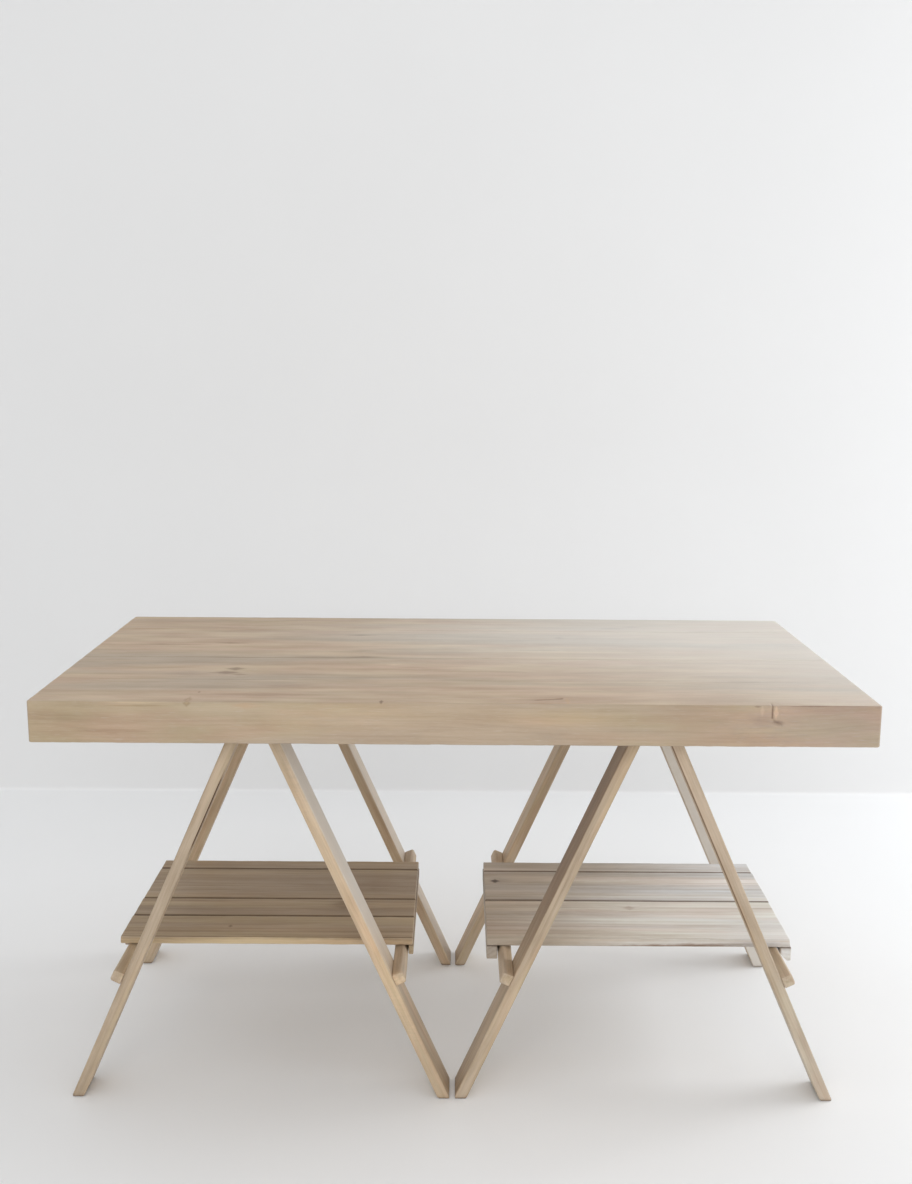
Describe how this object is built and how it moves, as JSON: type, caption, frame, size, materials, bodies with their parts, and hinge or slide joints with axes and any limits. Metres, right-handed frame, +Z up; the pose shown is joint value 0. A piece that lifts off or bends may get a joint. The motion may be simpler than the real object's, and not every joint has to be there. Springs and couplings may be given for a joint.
{
  "type": "folding trestle table",
  "caption": "Folding trestle table: a thick board top lies loose on hinged A-frame trestles, and a slatted shelf hooked over the rails of each trestle keeps its legs from spreading.",
  "frame": {"origin": "on the floor, under the middle of the top", "axes": "+X along the length of the top, to the right as pictured; +Y to the back; +Z up"},
  "size_m": [1.4, 0.7, 0.75],
  "materials": {
    "top_timber": "limed, matt",
    "edge_timber": "limed, matt",
    "leg_timber": "limed, matt",
    "shelf_timber": "limed, matt",
    "core_timber": "bare, sawn",
    "hinge_steel": "dull zinc"
  },
  "bodies": {
    "left_outer_frame": {"left_hinge_pins": "hinge_steel", "left_outer_back_leg": "leg_timber", "left_outer_front_leg": "leg_timber", "left_outer_head_rail": "leg_timber", "left_outer_hinge_leaves": "hinge_steel", "left_outer_shelf_rail": "leg_timber", "left_outer_tenons": "core_timber"},
    "left_inner_frame": {"left_inner_back_leg": "leg_timber", "left_inner_front_leg": "leg_timber", "left_inner_head_rail": "leg_timber", "left_inner_hinge_leaves": "hinge_steel", "left_inner_shelf_rail": "leg_timber", "left_inner_tenons": "core_timber"},
    "right_outer_frame": {"right_hinge_pins": "hinge_steel", "right_outer_back_leg": "leg_timber", "right_outer_front_leg": "leg_timber", "right_outer_head_rail": "leg_timber", "right_outer_hinge_leaves": "hinge_steel", "right_outer_shelf_rail": "leg_timber", "right_outer_tenons": "core_timber"},
    "right_inner_frame": {"right_inner_back_leg": "leg_timber", "right_inner_front_leg": "leg_timber", "right_inner_head_rail": "leg_timber", "right_inner_hinge_leaves": "hinge_steel", "right_inner_shelf_rail": "leg_timber", "right_inner_tenons": "core_timber"},
    "left_shelf": {"left_shelf_board_1": "shelf_timber", "left_shelf_board_2": "shelf_timber", "left_shelf_board_3": "shelf_timber", "left_shelf_board_4": "shelf_timber", "left_shelf_inner_cleat": "shelf_timber", "left_shelf_outer_cleat": "shelf_timber", "left_shelf_tenons": "core_timber"},
    "right_shelf": {"right_shelf_board_1": "shelf_timber", "right_shelf_board_2": "shelf_timber", "right_shelf_board_3": "shelf_timber", "right_shelf_inner_cleat": "shelf_timber", "right_shelf_outer_cleat": "shelf_timber", "right_shelf_tenons": "core_timber"},
    "tabletop": {"back_edge_board": "edge_timber", "cross_ribs": "core_timber", "front_edge_board": "edge_timber", "left_edge_board": "edge_timber", "right_edge_board": "edge_timber", "top_board_1": "top_timber", "top_board_2": "top_timber", "top_board_3": "top_timber", "top_board_4": "top_timber", "top_board_5": "top_timber", "underside_panel": "core_timber"}
  },
  "joints": [
    {"name": "left_fold", "type": "hinge", "parent": "left_outer_frame", "child": "left_inner_frame", "pos_m": [-0.3423, 0, 0.674], "axis": [0, 1, 0], "range_deg": [0, 47.6]},
    {"name": "left_shelf_lift", "type": "slide", "parent": "left_outer_frame", "child": "left_shelf", "axis": [0, 0, 1], "range_m": [0, 0.25]},
    {"name": "right_trestle_slide", "type": "slide", "parent": "left_outer_frame", "child": "right_outer_frame", "axis": [1, 0, 0], "range_m": [0, 0.2]},
    {"name": "right_fold", "type": "hinge", "parent": "right_outer_frame", "child": "right_inner_frame", "pos_m": [0.3423, 0, 0.674], "axis": [0, -1, 0], "range_deg": [0, 47.6]},
    {"name": "right_shelf_lift", "type": "slide", "parent": "right_outer_frame", "child": "right_shelf", "axis": [0, 0, 1], "range_m": [0, 0.25]},
    {"name": "tabletop_lift", "type": "slide", "parent": "left_outer_frame", "child": "tabletop", "axis": [0, 0, 1], "range_m": [0, 0.3]}
  ]
}
